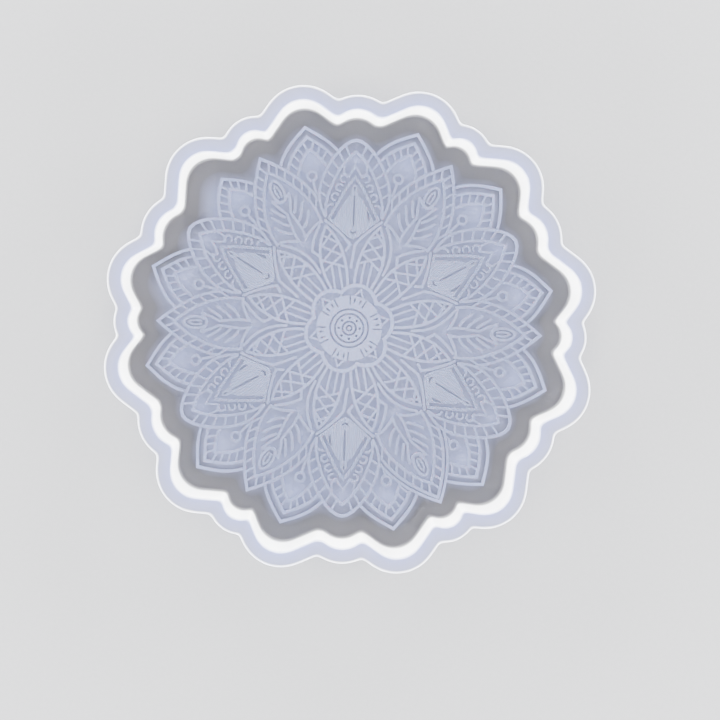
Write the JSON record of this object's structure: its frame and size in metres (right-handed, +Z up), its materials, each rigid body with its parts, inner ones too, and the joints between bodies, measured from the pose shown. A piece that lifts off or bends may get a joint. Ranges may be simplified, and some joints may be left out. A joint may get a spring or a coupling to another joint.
{
  "type": "resin casting mould",
  "caption": "Open flexible silicone mould with a scalloped wall and a raised mandala on its floor, for casting a resin coaster.",
  "frame": {"origin": "middle of the underside, on the face the mould lies on", "axes": "+Z up out of the open cavity, +Y along the axis of one diamond petal, +X to the right seen from above"},
  "size_m": [0.1138, 0.1126, 0.0105],
  "materials": {
    "silicone_body": "milky translucent silicone, satin gloss",
    "silicone_relief": "frosted silicone, matt"
  },
  "bodies": {
    "root": {"base_plate": "silicone_body", "side_wall": "silicone_body", "rim_land": "silicone_body", "rosette_seed": "silicone_relief", "rosette_rings": "silicone_relief", "rosette_band": "silicone_relief", "rosette_collar": "silicone_relief", "lattice_leaf_01": "silicone_relief", "lattice_leaf_02": "silicone_relief", "lattice_leaf_03": "silicone_relief", "lattice_leaf_04": "silicone_relief", "lattice_leaf_05": "silicone_relief", "lattice_leaf_06": "silicone_relief", "lattice_leaf_07": "silicone_relief", "lattice_leaf_08": "silicone_relief", "lattice_leaf_09": "silicone_relief", "lattice_leaf_10": "silicone_relief", "lattice_leaf_11": "silicone_relief", "lattice_leaf_12": "silicone_relief", "diamond_petal_1": "silicone_relief", "diamond_petal_2": "silicone_relief", "diamond_petal_3": "silicone_relief", "diamond_petal_4": "silicone_relief", "diamond_petal_5": "silicone_relief", "diamond_petal_6": "silicone_relief", "diamond_gem_1": "silicone_relief", "diamond_gem_2": "silicone_relief", "diamond_gem_3": "silicone_relief", "diamond_gem_4": "silicone_relief", "diamond_gem_5": "silicone_relief", "diamond_gem_6": "silicone_relief", "feather_leaf_1": "silicone_relief", "feather_leaf_2": "silicone_relief", "feather_leaf_3": "silicone_relief", "feather_leaf_4": "silicone_relief", "feather_leaf_5": "silicone_relief", "feather_leaf_6": "silicone_relief", "eye_petal_01": "silicone_relief", "eye_petal_02": "silicone_relief", "eye_petal_03": "silicone_relief", "eye_petal_04": "silicone_relief", "eye_petal_05": "silicone_relief", "eye_petal_06": "silicone_relief", "eye_petal_07": "silicone_relief", "eye_petal_08": "silicone_relief", "eye_petal_09": "silicone_relief", "eye_petal_10": "silicone_relief", "eye_petal_11": "silicone_relief", "eye_petal_12": "silicone_relief"}
  },
  "joints": []
}
